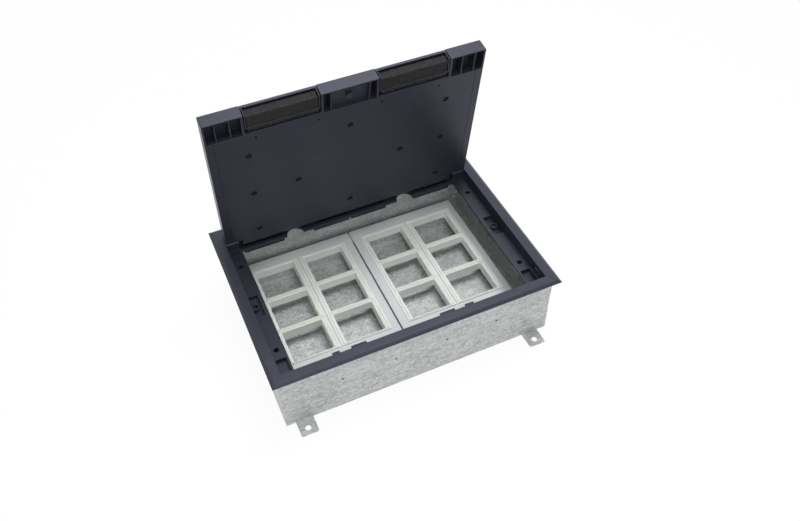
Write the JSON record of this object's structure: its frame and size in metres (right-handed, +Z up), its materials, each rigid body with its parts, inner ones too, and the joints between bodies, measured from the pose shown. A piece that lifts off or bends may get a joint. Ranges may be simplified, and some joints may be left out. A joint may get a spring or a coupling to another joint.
{
  "type": "floor socket box",
  "caption": "Rectangular floor socket box: folded steel back box, dark plastic trim frame, open hinged lid with foam cable outlets, and white carriers with module frames.",
  "frame": {"origin": "middle of the underside of the back box, which is also the middle of the four fixing lugs", "axes": "+X along the hinge, +Y from the front to the hinge side, +Z up"},
  "size_m": [0.328, 0.2586, 0.2783],
  "materials": {
    "galvanised_steel": "galvanised, mottled",
    "bright_zinc": "bright zinc plate",
    "dark_zinc": "black zinc plate",
    "brass": "plain",
    "graphite_plastic": "fine texture",
    "white_paint": "satin powder coat",
    "cream_plastic": "satin",
    "foam": "open-cell foam"
  },
  "bodies": {
    "base": {"box_body": "galvanised_steel", "box_end_left": "galvanised_steel", "box_end_right": "galvanised_steel", "carrier_left": "white_paint", "carrier_right": "white_paint", "carrier_screws": "bright_zinc", "corner_rivets": "bright_zinc", "earth_nut": "brass", "earth_stud": "brass", "frame_screws": "dark_zinc", "front_rail": "galvanised_steel", "hinge_pin_left": "brass", "hinge_pin_right": "brass", "module_frame_1_1": "cream_plastic", "module_frame_1_2": "cream_plastic", "module_frame_1_3": "cream_plastic", "module_frame_1_4": "cream_plastic", "module_frame_2_1": "cream_plastic", "module_frame_2_2": "cream_plastic", "module_frame_2_3": "cream_plastic", "module_frame_2_4": "cream_plastic", "module_frame_3_1": "cream_plastic", "module_frame_3_2": "cream_plastic", "module_frame_3_3": "cream_plastic", "module_frame_3_4": "cream_plastic", "rail_screws": "bright_zinc", "rear_rail": "galvanised_steel", "trim_frame": "graphite_plastic"},
    "lid": {"foam_holder_left": "graphite_plastic", "foam_holder_right": "graphite_plastic", "foam_left": "foam", "foam_right": "foam", "lid_panel": "graphite_plastic", "lid_plate": "galvanised_steel", "lid_screws": "dark_zinc", "lid_shell": "graphite_plastic"},
    "flap_left": {"cable_flap_left": "graphite_plastic"},
    "flap_right": {"cable_flap_right": "graphite_plastic"},
    "clamp_left": {"clamp_screw_left": "dark_zinc", "clamp_claw_left": "bright_zinc"},
    "clamp_right": {"clamp_screw_right": "dark_zinc", "clamp_claw_right": "bright_zinc"}
  },
  "joints": [
    {"name": "lid_hinge", "type": "hinge", "parent": "base", "child": "lid", "pos_m": [0, 0.0973, 0.0794], "axis": [-1, 0, 0], "range_deg": [-80.4, 14]},
    {"name": "flap_left_hinge", "type": "hinge", "parent": "lid", "child": "flap_left", "pos_m": [-0.0705, 0.07205, 0.25566], "axis": [-1, 0, 0], "range_deg": [0, 90]},
    {"name": "flap_right_hinge", "type": "hinge", "parent": "lid", "child": "flap_right", "pos_m": [0.0705, 0.07205, 0.25566], "axis": [-1, 0, 0], "range_deg": [0, 90]},
    {"name": "clamp_left_turn", "type": "hinge", "parent": "base", "child": "clamp_left", "pos_m": [-0.1462, 0.0012, 0.0565], "axis": [0, 0, 1], "range_deg": [0, 90]},
    {"name": "clamp_right_turn", "type": "hinge", "parent": "base", "child": "clamp_right", "pos_m": [0.1462, 0.0012, 0.0565], "axis": [0, 0, -1], "range_deg": [0, 90]}
  ]
}
